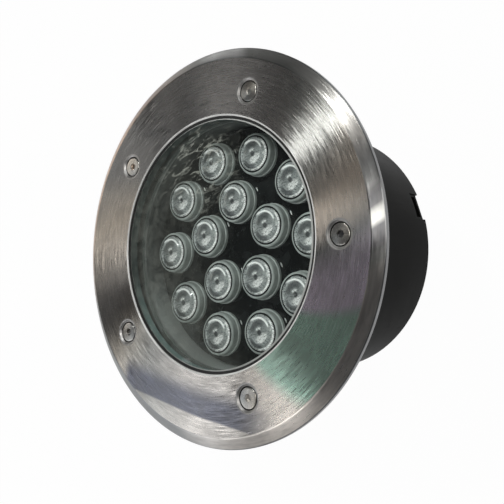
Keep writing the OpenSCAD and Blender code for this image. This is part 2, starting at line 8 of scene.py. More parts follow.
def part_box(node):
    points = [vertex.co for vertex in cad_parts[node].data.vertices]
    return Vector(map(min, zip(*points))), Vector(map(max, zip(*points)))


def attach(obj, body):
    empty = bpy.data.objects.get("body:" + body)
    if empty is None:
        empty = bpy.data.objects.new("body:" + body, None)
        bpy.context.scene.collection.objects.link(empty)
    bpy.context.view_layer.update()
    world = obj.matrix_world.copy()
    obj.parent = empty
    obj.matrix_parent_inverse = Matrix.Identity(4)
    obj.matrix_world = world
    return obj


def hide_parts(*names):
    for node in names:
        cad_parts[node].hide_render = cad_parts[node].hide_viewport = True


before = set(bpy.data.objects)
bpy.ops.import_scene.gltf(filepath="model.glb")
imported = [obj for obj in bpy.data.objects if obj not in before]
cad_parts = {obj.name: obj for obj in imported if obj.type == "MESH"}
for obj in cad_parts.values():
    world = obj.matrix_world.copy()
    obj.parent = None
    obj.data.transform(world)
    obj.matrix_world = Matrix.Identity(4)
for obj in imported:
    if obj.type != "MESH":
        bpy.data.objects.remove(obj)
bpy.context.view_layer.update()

# Camera. It looks at the lit face from 45 degrees off the light's axis and is rolled, so that the
# light lies on its side with the sleeve to the right. The lens is shifted as the view was cropped.
mm = 0.001
face_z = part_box("cover_ring")[1].z
face_centre = Vector((0, 0, face_z))
view_turn = Matrix.Rotation(math.radians(-23.5), 3, "Z")
view_tilt = math.radians(44.85)
view_distance = 324.45 * mm
view_angles = [math.radians(turn) for turn in (7.43, 36.686, -18.772)]
focal_length = 50.75
frame_shift = -0.119

camera_data = bpy.data.cameras.new("camera")
camera_data.lens = focal_length
camera_data.shift_x = frame_shift
camera_data.shift_y = frame_shift
camera = bpy.data.objects.new("camera", camera_data)
camera.location = face_centre + view_distance * (
    view_turn @ Vector((math.sin(view_tilt), 0, math.cos(view_tilt)))
)
camera.rotation_euler = view_angles
bpy.context.scene.collection.objects.link(camera)
bpy.context.scene.camera = camera
bpy.context.scene.view_settings.view_transform = "Standard"

# Studio. A white floor under a dark ceiling. A small key lamp stands on the side that is up in the
# picture, one hangs over the light, and three weaker ones fill in from the left and from below.
floor_reach = 40
floor_rough = 0.8
floor_white = (0.9, 0.9, 0.9, 1)
glow_white = (1, 1, 1, 1)
glow_share = 0.975
horizon_rise = 0.16
horizon_grey = (0.30, 0.295, 0.285, 1)
ceiling_grey = (0.046, 0.047, 0.049, 1)
lamp_distance = 1
# Name, turn and rise in degrees, width in metres, watts and colour of each lamp.
lamps = [
    ("key_lamp", 99, 53, 0.11, 3.3, (0.98, 1, 0.99)),
    ("top_lamp", 26, 60, 0.30, 3.1, (1, 0.99, 0.96)),
    ("fill_lamp", 218, 28, 0.60, 2.0, (0.96, 0.98, 1)),
    ("side_lamp", 243, 48, 0.24, 1.0, (1, 0.99, 0.97)),
    ("low_lamp", 172, 21, 0.36, 0.95, (1, 0.96, 0.90)),
]


class Value:
    """A socket of a finish's nodes, so that a sum on values is written as a sum."""

    def __init__(self, finish, socket):
        self.finish = finish
        self.socket = socket

    def math(self, operation, *values):
        """The result of a Math node's operation on values, in their order."""
        return self.finish.node("Math", {"operation": operation}, dict(enumerate(values)))

    def __add__(self, other):
        return self.math("ADD", self, other)

    def __sub__(self, other):
        return self.math("SUBTRACT", self, other)

    def __rsub__(self, other):
        return self.math("SUBTRACT", other, self)

    def __mul__(self, other):
        return self.math("MULTIPLY", self, other)

    def __truediv__(self, other):
        return self.math("DIVIDE", self, other)

    def __pow__(self, other):
        return self.math("POWER", self, other)

    __radd__ = __add__
    __rmul__ = __mul__

    def fade(self, start, end, low=0, high=1):
        """This value, eased from low at start to high at end."""
        return self.finish.node("MapRange", {"interpolation_type": "SMOOTHSTEP"}, {
            "Value": self, "From Min": start, "From Max": end, "To Min": low, "To Max": high,
        })


class Finish:
    """The nodes of one material or of the world, all added by one method."""

    def __init__(self, owner):
        owner.use_nodes = True
        self.owner = owner
        self.tree = owner.node_tree
        self.tree.nodes.clear()

    def node(self, kind, settings=None, inputs=None, output=0):
        """One node of a kind, with its settings and with the values or links of its sockets."""
        node = self.tree.nodes.new("ShaderNode" + kind)
        for name, setting in (settings or {}).items():
            if name == "stops":
                ramp = node.color_ramp.elements
                while len(ramp) < len(setting):
                    ramp.new(1)
                for stop, (position, colour) in zip(ramp, setting):
                    stop.position = position
                    stop.color = colour
            else:
                setattr(node, name, setting)
        for name, value in (inputs or {}).items():
            if isinstance(value, Value):
                self.tree.links.new(value.socket, node.inputs[name])
            else:
                node.inputs[name].default_value = value
        return Value(self, node.outputs[output]) if node.outputs else None

    def tint(self, mask, under, over):
        """The colour over where the mask is 1, and under where it is 0."""
        return self.node("Mix", {"data_type": "RGBA"}, {0: mask, 6: under, 7: over}, 2)

    def place(self):
        """The place on the object, in metres."""
        return self.node("TexCoord", output="Object")

    def axes(self, place, names="XYZ"):
        """The coordinates of a place along the named axes."""
        return [self.node("SeparateXYZ", {}, {0: place}, name) for name in names]

    def noise(self, place, scale, detail=2, roughness=0.5, warp=0):
        """Noise of 0 to 1 that swings about scale times over one unit of the place."""
        return self.node("TexNoise", {}, {
            "Vector": place, "Scale": scale, "Detail": detail, "Roughness": roughness,
            "Distortion": warp,
        })

    def bump(self, height, depth, strength=1.0, upright=None):
        """A normal for a height of 0 to 1 that stands for a depth in metres."""
        sockets = {"Height": height, "Distance": depth, "Strength": strength}
        if upright:
            sockets["Normal"] = upright
        return self.node("Bump", {}, sockets)

    def close(self, shader):
        """Ends the nodes in a surface, and returns what they belong to."""
        self.node("OutputMaterial", {}, {"Surface": shader})
        return self.owner


def new_finish(name):
    """The empty finish of a new material."""
    return Finish(bpy.data.materials.new(name))


world = Finish(bpy.data.worlds.new("studio"))
bpy.context.scene.world = world.owner
[rise] = world.axes(world.node("TexCoord", output="Generated"), "Z")
sky = world.tint(rise.fade(0, horizon_rise), horizon_grey, ceiling_grey)
world.node("OutputWorld", {}, {"Surface": world.node("Background", {}, {"Color": sky})})

for name, turn, rise, width, watts, colour in lamps:
    lamp_data = bpy.data.lights.new(name, "AREA")
    lamp_data.size = width
    lamp_data.energy = watts
    lamp_data.color = colour
    lamp = bpy.data.objects.new(name, lamp_data)
    across = math.cos(math.radians(rise))
    way = view_turn @ Vector((
        across * math.cos(math.radians(turn)), across * math.sin(math.radians(turn)),
        math.sin(math.radians(rise)),
    ))
    lamp.location = face_centre + lamp_distance * way
    lamp.rotation_euler = way.to_track_quat("Z", "Y").to_euler()
    lamp.visible_camera = False
    bpy.context.scene.collection.objects.link(lamp)

floor_mesh = bmesh.new()
floor_corners = [(-1, -1), (1, -1), (1, 1), (-1, 1)]
floor_mesh.faces.new([
    floor_mesh.verts.new((x * floor_reach, y * floor_reach, 0)) for x, y in floor_corners
])
floor_data = bpy.data.meshes.new("floor")
floor_mesh.to_mesh(floor_data)
floor = bpy.data.objects.new("floor", floor_data)
bpy.context.scene.collection.objects.link(floor)

finish = new_finish("floor")
ray = finish.node("LightPath").socket.node
seen = sum(
    (Value(finish, ray.outputs[way]) for way in ("Is Glossy Ray", "Is Transmission Ray")),
    Value(finish, ray.outputs["Is Camera Ray"]),
)
paper = finish.node("BsdfPrincipled", {}, {"Base Color": floor_white, "Roughness": floor_rough})
glow = finish.node("Emission", {}, {"Color": glow_white})
floor_data.materials.append(
    finish.close(finish.node("MixShader", {}, {0: seen * glow_share, 1: paper, 2: glow}))
)

# Ground sleeve. A round tub moulded in black plastic that stays in the ground, with a flange, ten
# gussets under it, a lip round the foot and two cable windows. The mould leaves a faint grain.
sleeve_black = (0.0070, 0.0072, 0.0068, 1)
grain = 0.35 * mm
grain_depth = 0.012 * mm
flow_width = 50 * mm
dust_share = 0.10


def moulded(name, colour, rough, shine=0.5):
    """Moulded plastic with a fine grain, flow marks that change its gloss, and a little dust."""
    finish = new_finish(name)
    place = finish.place()
    fine = finish.noise(place, 1 / grain, 3, 0.6)
    flow = finish.noise(place, 1 / flow_width, 3, 0.55, 0.6)
    dust = finish.noise(place, 0.35 / mm, 5, 0.7).fade(0.52, 0.78)
    dusty = [min(1, value * 1.6 + 0.01) for value in colour[:3]] + [1]
    return finish.close(finish.node("BsdfPrincipled", {}, {
        "Base Color": finish.tint(dust * dust_share, colour, dusty),
        "Roughness": flow.fade(0.3, 0.7, rough - 0.05, rough + 0.07) + dust * 0.1,
        "Specular IOR Level": shine,
        "Normal": finish.bump(fine, grain_depth, 0.6),
    }))


def dress(finish, *names):
    """Gives CAD nodes their finish."""
    for name in names:
        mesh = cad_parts[name].data
        mesh.materials.clear()
        mesh.materials.append(finish)


dress(moulded("sleeve_plastic", sleeve_black, rough=0.40, shine=0.04), "sleeve")

# Cup. One aluminium die casting that holds the driver below and the lenses above, with a flange,
# five screw bosses and 24 fins. It is grey as cast, with a stretch of wall on one side lightened by
# painted light, and only the ledge under the glass is turned.
cast_grey = (0.30, 0.31, 0.305, 1)
cast_dark = (0.17, 0.18, 0.178, 1)
turned_grey = (0.55, 0.56, 0.55, 1)
lit_wall_grey = (0.78, 0.80, 0.78, 1)
lit_wall_share = 0.85
ledge_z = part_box("glass_gasket")[0].z

finish = new_finish("cast_aluminium")
place = finish.place()
x, y, height = finish.axes(place)
skin = finish.noise(place, 1.1 / mm, 4, 0.65)
cloud = finish.noise(place, 0.06 / mm, 3, 0.5, 0.4)
# Painted light: the wall is lighter on one side, where more light falls on it.
lit_wall = (x + y).fade(-48 * mm, -68 * mm) * lit_wall_share
machined = height.fade(ledge_z - 1.1 * mm, ledge_z - 0.9 * mm)
as_cast = finish.tint(cloud.fade(0.3, 0.7), cast_dark, cast_grey)
wall = finish.tint(lit_wall, as_cast, lit_wall_grey)
dress(finish.close(finish.node("BsdfPrincipled", {}, {
    "Base Color": finish.tint(machined, wall, turned_grey),
    "Metallic": 0.75,
    "Roughness": 0.55 - machined * 0.2 + skin * 0.1,
    "Normal": finish.bump(skin, 0.05 * mm, 0.5),
})), "housing")

# Cable gland. A nylon gland screwed into the underside of the cup, with a washer, a rubber seal
# and a nut that squeezes the seal on the cable.
nylon_black = (0.020, 0.020, 0.021, 1)
seal_black = (0.035, 0.035, 0.036, 1)
dust_grey = (0.20, 0.22, 0.21, 1)

dress(moulded("gland_nylon", nylon_black, rough=0.42), "gland_body", "gland_nut")


def rubber(name, colour, bloom, dusty_z=0):
    """Rubber or silicone, dull, with patches of pale bloom, and dusty below a height."""
    finish = new_finish(name)
    place = finish.place()
    skin = finish.noise(place, 2.2 / mm, 3, 0.6)
    bloomed = finish.noise(place, 0.12 / mm, 4, 0.6).fade(0.45, 0.75)
    pale = [value + bloom for value in colour[:3]] + [1]
    [height] = finish.axes(place, "Z")
    dusty = height.fade(dusty_z, dusty_z - 0.3 * mm)
    return finish.close(finish.node("BsdfPrincipled", {}, {
        "Base Color": finish.tint(dusty, finish.tint(bloomed, colour, pale), dust_grey),
        "Roughness": 0.58 + skin * 0.2,
        "Normal": finish.bump(skin, 0.02 * mm, 0.5),
    }))


dress(rubber("seal_rubber", seal_black, bloom=0.03), "gland_seal", "gland_washer")

# Driver. A mains driver in a white moulded case with a flat lid, screwed by its two ears to posts
# in the cup. Its board carries a transformer, two capacitors and a choke.
driver_white = (0.78, 0.78, 0.76, 1)
driver_black = (0.05, 0.05, 0.06, 1)
laminate_dark = (0.02, 0.16, 0.06, 1)
laminate_green = (0.05, 0.24, 0.10, 1)
threads = 0.5 / mm

dress(moulded("driver_plastic", driver_white, rough=0.45), "driver_case", "driver_lid")
dress(moulded("driver_dark", driver_black, rough=0.4), "driver_parts")

finish = new_finish("driver_laminate")
place = finish.place()
warp, weft = [
    finish.node("TexWave", {"bands_direction": way}, {"Vector": place, "Scale": threads})
    for way in "XY"
]
dress(finish.close(finish.node("BsdfPrincipled", {}, {
    "Base Color": finish.tint(warp * weft, laminate_dark, laminate_green),
    "Roughness": 0.35 + warp * 0.1,
})), "driver_board")

# Heat plate, pad and wires. A milled aluminium plate with a soft pad carries the lamp board, three
# black screws hold them to the cup's shoulder, and two red wires come up from the driver.
plate_dark = (0.62, 0.63, 0.64, 1)
plate_bright = (0.78, 0.79, 0.80, 1)
silicone_grey = (0.62, 0.63, 0.62, 1)
wire_red = (0.45, 0.03, 0.025, 1)
oxide_black = (0.02, 0.02, 0.02, 1)
oxide_grey = (0.06, 0.058, 0.055, 1)
mill_lines = (40, 1500, 40)

finish = new_finish("plate_aluminium")
milled = finish.node("Mapping", {}, {"Vector": finish.place(), "Scale": mill_lines})
lines = finish.noise(milled, 1, 3)
dress(finish.close(finish.node("BsdfPrincipled", {}, {
    "Base Color": finish.tint(lines, plate_dark, plate_bright),
    "Metallic": 1,
    "Roughness": 0.28 + lines * 0.15,
    "Normal": finish.bump(lines, 0.005 * mm, 0.4),
})), "heat_plate")
dress(rubber("thermal_silicone", silicone_grey, bloom=0.08), "thermal_pad")
dress(moulded("wire_red", wire_red, rough=0.35), "led_wires")

finish = new_finish("screw_black")
oxide = finish.noise(finish.place(), 0.9 / mm, 4, 0.6)
dress(finish.close(finish.node("BsdfPrincipled", {}, {
    "Base Color": finish.tint(oxide, oxide_black, oxide_grey),
    "Metallic": 0.6,
    "Roughness": 0.38 + oxide * 0.2,
})), "board_screws")

# Lamp board. A round aluminium-core board with a satin black mask and tinned pads beside each
# lamp. It fills the cup to its wall, and the lamps sit on it under their lenses.
mask_black = (0.004, 0.0045, 0.0045, 1)
mask_worn = (0.011, 0.013, 0.013, 1)
lamp_white = (0.75, 0.75, 0.72, 1)
phosphor_yellow = (0.85, 0.72, 0.16, 1)
lamp_h = 0.85 * mm
tin_dull = (0.66, 0.67, 0.66, 1)
tin_bright = (0.86, 0.86, 0.84, 1)
pad_sides = 20
pad_reach = 11.8 * mm
pad_turns = [math.radians(turn) for turn in (9, 189)]
pad_size = Vector((0.40, 1.3, 0.3)) * mm
board_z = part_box("led_board")[1].z
lens_numbers = sorted(
    name.removeprefix("lens_holder_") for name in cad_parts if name.startswith("lens_holder_")
)
lens_centres = [sum(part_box("lens_" + number), Vector()) / 2 for number in lens_numbers]

finish = new_finish("board_black")
place = finish.place()
mottle = finish.noise(place, 0.09 / mm, 4, 0.6, 0.5)
weave = finish.noise(place, 2.5 / mm, 2)
dress(finish.close(finish.node("BsdfPrincipled", {}, {
    "Base Color": finish.tint(mottle.fade(0.4, 0.8), mask_black, mask_worn),
    "Roughness": mottle.fade(0.3, 0.7, 0.16, 0.34),
    "Normal": finish.bump(weave, 0.006 * mm, 0.4),
})), "led_board")

finish = new_finish("lamp_phosphor")
place = finish.place()
[height] = finish.axes(place, "Z")
dome = height.fade(board_z + lamp_h, board_z + lamp_h + 0.1 * mm)
dress(finish.close(finish.node("BsdfPrincipled", {}, {
    "Base Color": finish.tint(dome, lamp_white, phosphor_yellow),
    "Roughness": 0.35 - dome * 0.2 + finish.noise(place, 1 / mm) * 0.1,
})), "leds")


def rounded(corners, steps=5):
    """Outline through (r, z, bend) corners, where each bend is an arc that touches both sides."""
    outline = []
    for before, (r, z, bend), after in zip(corners[-1:] + corners[:-1], corners,
                                           corners[1:] + corners[:1]):
        corner = Vector((r, z))
        if not bend:
            outline.append(corner)
            continue
        back = (Vector(before[:2]) - corner).normalized()
        on = (Vector(after[:2]) - corner).normalized()
        half = back.angle(on) / 2
        centre = corner + (back + on).normalized() * bend / math.sin(half)
        start = corner + back * bend / math.tan(half) - centre
        end = corner + on * bend / math.tan(half) - centre
        turn = start.angle(end)
        for i in range(steps + 1):
            share = i / steps
            outline.append(centre + (
                start * math.sin((1 - share) * turn) + end * math.sin(share * turn)
            ) / math.sin(turn))
    return outline


def turn_into(mesh, outline, sides, centre=(0, 0), closed=False, material=0):
    """Sweeps an outline of (r, z) points round a vertical axis into a bmesh; returns its rings."""
    rings = []
    for r, z in outline:
        count = sides if r else 1
        rings.append([
            mesh.verts.new((
                centre[0] + r * math.cos(2 * math.pi * i / sides),
                centre[1] + r * math.sin(2 * math.pi * i / sides),
                z,
            ))
            for i in range(count)
        ])
    for low, high in zip(rings, rings[1:] + rings[:1] if closed else rings[1:]):
        for i in range(sides):
            ahead = (i + 1) % sides
            corners = [low[i % len(low)], low[ahead % len(low)],
                       high[ahead % len(high)], high[i % len(high)]]
            face = mesh.faces.new(dict.fromkeys(corners))
            face.material_index = material
            face.smooth = True
    return rings


def finished(name, mesh, *finishes, crease=32):
    """Mesh data from a bmesh, its faces turned outwards and its edges sharp above the crease."""
    bmesh.ops.recalc_face_normals(mesh, faces=mesh.faces)
    data = bpy.data.meshes.new(name)
    mesh.to_mesh(data)
    mesh.free()
    data.set_sharp_from_angle(angle=math.radians(crease))
    for finish in finishes:
        data.materials.append(finish)
    return data


def place_piece(name, data, slot, *nodes, at=(0, 0, 0), turn=0):
    """Puts a piece on the light's one body, in place of the CAD nodes that are named."""
    piece = bpy.data.objects.new(name, data)
    bpy.context.scene.collection.objects.link(piece)
    piece.location = at
    piece.rotation_euler.z = turn
    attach(piece, "root")
    if nodes:
        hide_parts(*nodes)


finish = new_finish("tinned_pad")
frost = finish.noise(finish.place(), 3 / mm, 3)
tin = finish.close(finish.node("BsdfPrincipled", {}, {
    "Base Color": finish.tint(frost, tin_dull, tin_bright),
    "Metallic": 1,
    "Roughness": 0.25 + frost * 0.2,
    "Normal": finish.bump(frost, 0.02 * mm, 0.4),
}))
pads = bmesh.new()
drop = [(1, 0), (0.96, 0.3), (0.8, 0.62), (0.5, 0.88), (0, 1)]
for centre in lens_centres:
    for turn in pad_turns:
        spin = Matrix.Rotation(turn, 4, "Z")
        corners = [vert for ring in turn_into(pads, drop, pad_sides) for vert in ring]
        spot = spin @ Vector((pad_reach, 0, board_z)) + centre.xy.to_3d()
        size = Matrix.Diagonal((*pad_size, 1))
        move = Matrix.Translation(spot) @ spin @ size
        bmesh.ops.transform(pads, matrix=move, verts=corners)
place_piece("solder_pads", finished("solder_pads", pads, tin), "board_black")

# Lenses. Fifteen collimator lenses, each in a frosted round holder that is glued to the board over
# its lamp. The face is stippled, with a dimple, a polished groove and a milled band round it.
# Highlights are painted on the face and glow a little, and painted shade darkens the dimple, two
# patches of the face, the lens's side and the holder's bore.
holder_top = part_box("lens_holder_01")[1].z
holder_r = 10 * mm
holder_bend = 1 * mm
holder_sides = 96
holder_turn = 1.3
foot_r = 10.5 * mm
foot_h = 1.3 * mm
bore_r = 8.7 * mm
bore_depth = 2.4 * mm
shelf_r = 7.6 * mm
lens_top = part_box("lens_01")[1].z
lens_sides = 240
teeth = 60
tooth_h = 0.28 * mm
tooth_r = 7.6 * mm
cell = 0.45 * mm
cell_count = 16
holder_grey = (0.34, 0.365, 0.35, 1)
holder_pale = (0.50, 0.53, 0.51, 1)
lens_highlight_silver = (1, 1, 0.98, 1)
lens_dark_and_shade = (0.06, 0.066, 0.07, 1)
lens_middle = (0.70, 0.73, 0.72, 1)
shade_black = (0.008, 0.009, 0.009, 1)
unlit = (0, 0, 0, 1)
highlight_glow = 0.26

finish = new_finish("holder_plastic")
place = finish.place()
frost = finish.noise(place, 1.6 / mm, 4, 0.6)
cloud = finish.noise(place, 0.16 / mm, 3)
x, y = finish.axes(place, "XY")
radius = (x * x + y * y) ** 0.5
wall = finish.tint(cloud.fade(0.3, 0.7), holder_grey, holder_pale)
# Painted shade: the bore inside the holder is black, as if in shadow.
bore = radius.fade(bore_r + 0.25 * mm, bore_r + 0.1 * mm)
holder_finish = finish.close(finish.node("BsdfPrincipled", {}, {
    "Base Color": finish.tint(bore, wall, shade_black),
    "Roughness": 0.34 + frost * 0.2,
    "Normal": finish.bump(frost, 0.02 * mm, 0.5),
    "Coat Weight": 0.15,
}))
holder = bmesh.new()
holder_outline = rounded([
    (shelf_r, board_z, 0), (foot_r, board_z, 0), (foot_r, board_z + foot_h, 0.25 * mm),
    (holder_r, board_z + foot_h + 0.2 * mm, 0.15 * mm), (holder_r, holder_top, holder_bend),
    (bore_r + 0.2 * mm, holder_top, 0.15 * mm),
    (bore_r + 0.05 * mm, holder_top - 0.25 * mm, 0.1 * mm),
    (bore_r, holder_top - bore_depth, 0), (shelf_r, holder_top - bore_depth, 0),
])
turn_into(holder, holder_outline, holder_sides, closed=True)
holder_data = finished("lens_holder", holder, holder_finish)

finish = new_finish("lens_acrylic")
x, y, height = finish.axes(finish.place())
radius = (x * x + y * y) ** 0.5
across = x / radius
along = y / radius
cells = finish.node("CombineXYZ", {}, {
    "X": radius / cell, "Y": across * cell_count, "Z": along * cell_count,
})
stipple = finish.node("TexVoronoi", {"feature": "F1"}, {"Vector": cells, "Scale": 1})
streak = finish.noise(cells, 0.6, 3, 0.7)


def toward(turn):
    """The cosine of the angle from this place on the lens to a direction in degrees."""
    return across * math.cos(math.radians(turn)) + along * math.sin(math.radians(turn))


def patch(turn, start, full, inner, outer, soft, distance=radius):
    """1 in a patch of painted highlight or painted shade on the lens's face, eased to 0 round it.

    It lies where the cosine to the turn goes from start to full, and between an inner and an
    outer distance in millimetres that are eased over the soft width.
    """
    inside = distance.fade((inner - soft) * mm, inner * mm)
    return toward(turn).fade(start, full) * (
        inside * distance.fade((outer + soft) * mm, outer * mm)
    )


# Painted highlights: a crescent, a glint, a spark and light along the serrated rim.
bent = radius + toward(-4) * (1.2 * mm)
crescent_highlight = patch(64, 0.45, 0.75, 6.5, 7.0, 0.3, bent)
glint = patch(-78, 0.15, 0.9, 1.9, 4.2, 0.9)
spark = patch(90, 0.5, 0.95, 1.6, 2.2, 0.5)
# Painted shade: two dark patches on the face. The dark colour also serves the face's real stipple.
upper_shade = patch(100, 0.2, 0.8, 3.6, 5.2, 1.2)
lower_shade = patch(226, 0.7, 0.92, 5.6, 6.8, 0.9)
rim = radius.fade(6.8 * mm, 7.3 * mm)
serration = finish.noise(cells, 1.1, 1).fade(0.38, 0.56)
rim_light = rim * toward(-38).fade(-0.1, 0.6) * (serration * 0.75 + 0.25)
texture = streak.fade(0.34, 0.56) * 0.65 + stipple.fade(0.6, 0.15) * 0.5
# Painted shade in the dimple.
dimple_shade = radius.fade(1.3 * mm, 0.9 * mm)
light = crescent_highlight.math("MAXIMUM", crescent_highlight, rim_light) + (glint + spark) * (texture * 1.3)
face = finish.tint(texture, lens_dark_and_shade, lens_middle)
face = finish.tint(upper_shade * 0.75, face, lens_dark_and_shade)
face = finish.tint(lower_shade * 0.85, face, lens_dark_and_shade)
face = finish.tint(light.fade(0, 1), face, lens_highlight_silver)
face = finish.tint(dimple_shade * 0.8, face, lens_dark_and_shade)
# Painted shade on the lens's side below its face, in the gap inside the holder.
flank_shade = height.fade(lens_top - 0.85 * mm, lens_top - 1.1 * mm)
flank_shade *= radius.fade(tooth_r - 0.3 * mm, tooth_r)
lens_finish = finish.close(finish.node("BsdfPrincipled", {}, {
    "Base Color": finish.tint(flank_shade, face, shade_black),
    "Metallic": 0.1,
    "Roughness": 0.22 + stipple * 0.15,
    "Normal": finish.bump((1 - stipple) * (1 - rim), 0.35 * mm, 0.9),
    "Coat Weight": 1.0 - flank_shade,
    "Coat Roughness": 0.08,
    # The painted highlights also glow a little, though the lens is no lamp.
    "Emission Color": finish.tint(light.fade(0.2, 1) * (1 - flank_shade), unlit, lens_highlight_silver),
    "Emission Strength": highlight_glow,
}))
lens = bmesh.new()
lens_outline = rounded([(r * mm, lens_top + z * mm, bend * mm) for r, z, bend in [
    (0, -0.5, 0), (0.55, -0.45, 0.1), (1.25, 0, 0.3), (3.6, -0.1, 2), (5.9, -0.4, 0.8),
    (6.6, -0.9, 0.2), (6.95, -0.9, 0.12), (7.25, -0.45, 0.2), (8.0, -0.5, 0.25),
    (8.2, -0.9, 0.1), (8.25, -2.4, 0),
]], 3)
lens_rings = turn_into(lens, lens_outline, lens_sides)
for ring, (r, z) in zip(lens_rings, lens_outline):
    if r > tooth_r and z > lens_top - 1.2 * mm:
        for i, vert in enumerate(ring):
            tooth = tooth_h * max(0, math.sin(2 * math.pi * i * teeth / lens_sides))
            vert.co.z -= tooth
            vert.co.x *= 1 - tooth / r
            vert.co.y *= 1 - tooth / r
lens_data = finished("lens", lens, lens_finish, crease=60)

for i, (number, centre) in enumerate(zip(lens_numbers, lens_centres)):
    spot = (centre.x, centre.y, 0)
    place_piece("holder_" + number, holder_data, "holder_plastic", "lens_holder_" + number,
                at=spot, turn=i * holder_turn)
    place_piece("optic_" + number, lens_data, "lens_acrylic", "lens_" + number, at=spot)

# Gasket. A black silicone channel round the edge of the glass. Its upstand fills the gap between
# the glass and the ring and shows as a thin black line, and its foot is dusty.
gasket_black = (0.008, 0.008, 0.008, 1)
gasket_foot_z = ledge_z + 1.7 * mm

dress(rubber("silicone", gasket_black, bloom=0.004, dusty_z=gasket_foot_z), "glass_gasket")

# Glass. Toughened glass with a ground edge and a step that the ring clamps. It is clear with a
# green cast in its thickness, and its face has a little dried-on haze and one wiped patch.
glass_low, glass_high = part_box("glass")
glass_step_r = glass_high.x
glass_r = 56.8 * mm
step_z = 85.0 * mm
chamfer = 0.6 * mm
glass_sides = 192
clear_green = (0.965, 0.985, 0.98, 1)
mirror_green = (0.95, 0.97, 0.96, 1)
haze_green = (0.56, 0.59, 0.52, 1)
edge_teal = (0.012, 0.035, 0.035, 1)
lit_teal = (0.16, 0.25, 0.24, 1)
ground_grey = (0.62, 0.64, 0.62, 1)
haze_turn = math.radians(185)
wipe_at = Vector((3, 37)) * mm
wipe_turn = math.radians(-20)
wipe_l = 7 * mm
wipe_w = 3 * mm

finish = new_finish("glass_clear")
place = finish.place()
smear = finish.noise(place, 0.11 / mm, 5, 0.66, 1.4).fade(0.28, 0.78)
speck = finish.noise(place, 0.9 / mm, 3, 0.6).fade(0.64, 0.78)
x, y, height = finish.axes(place)
side = (x * math.cos(haze_turn) + y * math.sin(haze_turn)).fade(-12 * mm, 40 * mm)
upper = height.fade(glass_low.z + 1 * mm, glass_high.z - 1 * mm)
off_x = x - wipe_at.x
off_y = y - wipe_at.y
near = ((off_x * off_x + off_y * off_y) ** 0.5).fade(34 * mm, 8 * mm)
drawn = finish.node("Mapping", {}, {
    "Vector": place, "Rotation": (0, 0, wipe_turn), "Scale": (1 / wipe_l, 1 / wipe_w, 1),
})
wipe = finish.noise(drawn, 1, 3, 0.65, 1.3).fade(0.50, 0.70) * near
haze = ((smear * 0.13 + speck * 0.16 + 0.03) * side + wipe * 0.5 + near * 0.03 + 0.002) * upper
facing = finish.node("LayerWeight", {}, {"Blend": 0.5}, "Facing")
sheen = facing ** 5 * 0.96 + 0.04
clear = finish.node("BsdfTransparent", {}, {"Color": clear_green})
dust = finish.node("BsdfPrincipled", {}, {
    "Base Color": haze_green, "Roughness": 0.6 + smear * 0.2,
})
mirror = finish.node("BsdfPrincipled", {}, {
    "Base Color": mirror_green, "Metallic": 1, "Roughness": 0.02 + smear * 0.05,
})
hazy = finish.node("MixShader", {}, {0: haze, 1: clear, 2: dust})
pane_clear = finish.close(finish.node("MixShader", {}, {0: sheen, 1: hazy, 2: mirror}))

finish = new_finish("glass_edge")
place = finish.place()
x, y, height = finish.axes(place)
grit = finish.noise(place, 2 / mm, 3)
# Painted light: the edge is a paler teal on the side where more light falls.
teal_with_light = finish.tint((x + y).fade(-50 * mm, -76 * mm), edge_teal, lit_teal)
ground = height.fade(glass_high.z - chamfer - 0.2 * mm, glass_high.z - chamfer)
pane_edge = finish.close(finish.node("BsdfPrincipled", {}, {
    "Base Color": finish.tint(ground, teal_with_light, ground_grey),
    "Roughness": 0.25 + grit * 0.2,
    "Normal": finish.bump(grit, 0.02 * mm, 0.5),
}))

glass = bmesh.new()
turn_into(glass, [(0, glass_high.z), (glass_r - chamfer, glass_high.z)], glass_sides)
turn_into(glass, [
    (glass_r - chamfer, glass_high.z), (glass_r, glass_high.z - chamfer), (glass_r, step_z),
    (glass_step_r, step_z), (glass_step_r, glass_low.z + chamfer),
    (glass_step_r - chamfer, glass_low.z),
], glass_sides, material=1)
turn_into(glass, [(glass_step_r - chamfer, glass_low.z), (0, glass_low.z)], glass_sides)
bmesh.ops.remove_doubles(glass, verts=glass.verts, dist=0.001 * mm)
pane_data = finished("glass_pane", glass, pane_clear, pane_edge)
place_piece("glass_pane", pane_data, "glass", "glass")

# Cover ring. Pressed from stainless sheet, with a lip turned down round the opening, a polished
# bevel and a straight rim. The face is brushed round the axis, and five pockets are pressed in it.
# Reflections, highlights and shades are painted into the steel's colour round the axis, a blue
# reflection is painted across one side of the face and a highlight on the lip, and painted shade
# lies in the pockets, under the lip and on the rim.
ring_sides = 240
pocket_sides = 64
ring_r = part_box("cover_ring")[1].x
rim_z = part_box("cover_ring")[0].z
sheet = 2 * mm
window_r = 58 * mm
lip_z = face_z - 3.5 * mm
bevel_r = ring_r - 5 * mm
bevel_drop = 3 * mm
under_bevel_z = face_z - 3.32 * mm
screw_count = 5
screw_circle_r = 70 * mm
pocket_r = 5.2 * mm
pocket_slope = 0.7 * mm
pocket_bend = 0.35 * mm
pocket_z = face_z - 0.7 * mm
seat_r = 5.15 * mm
seat_h = 1.6 * mm
screw_hole_r = 2.6 * mm
screw_spots = [
    Vector((math.cos(turn), math.sin(turn), 0)) * screw_circle_r
    for turn in [math.radians(270 + 360 * i / screw_count) for i in range(screw_count)]
]
steel_pressed = (0.45, 0.44, 0.43, 1)
steel_worn = (0.18, 0.175, 0.17, 1)
steel_dim = (0.28, 0.285, 0.29, 1)
steel_plain = (0.44, 0.44, 0.42, 1)
steel_bright = (0.58, 0.57, 0.54, 1)
steel_warm = (0.60, 0.54, 0.47, 1)
steel_pale = (0.84, 0.79, 0.74, 1)
steel_peach = (0.90, 0.79, 0.68, 1)
steel_white = (0.98, 0.98, 0.96, 1)
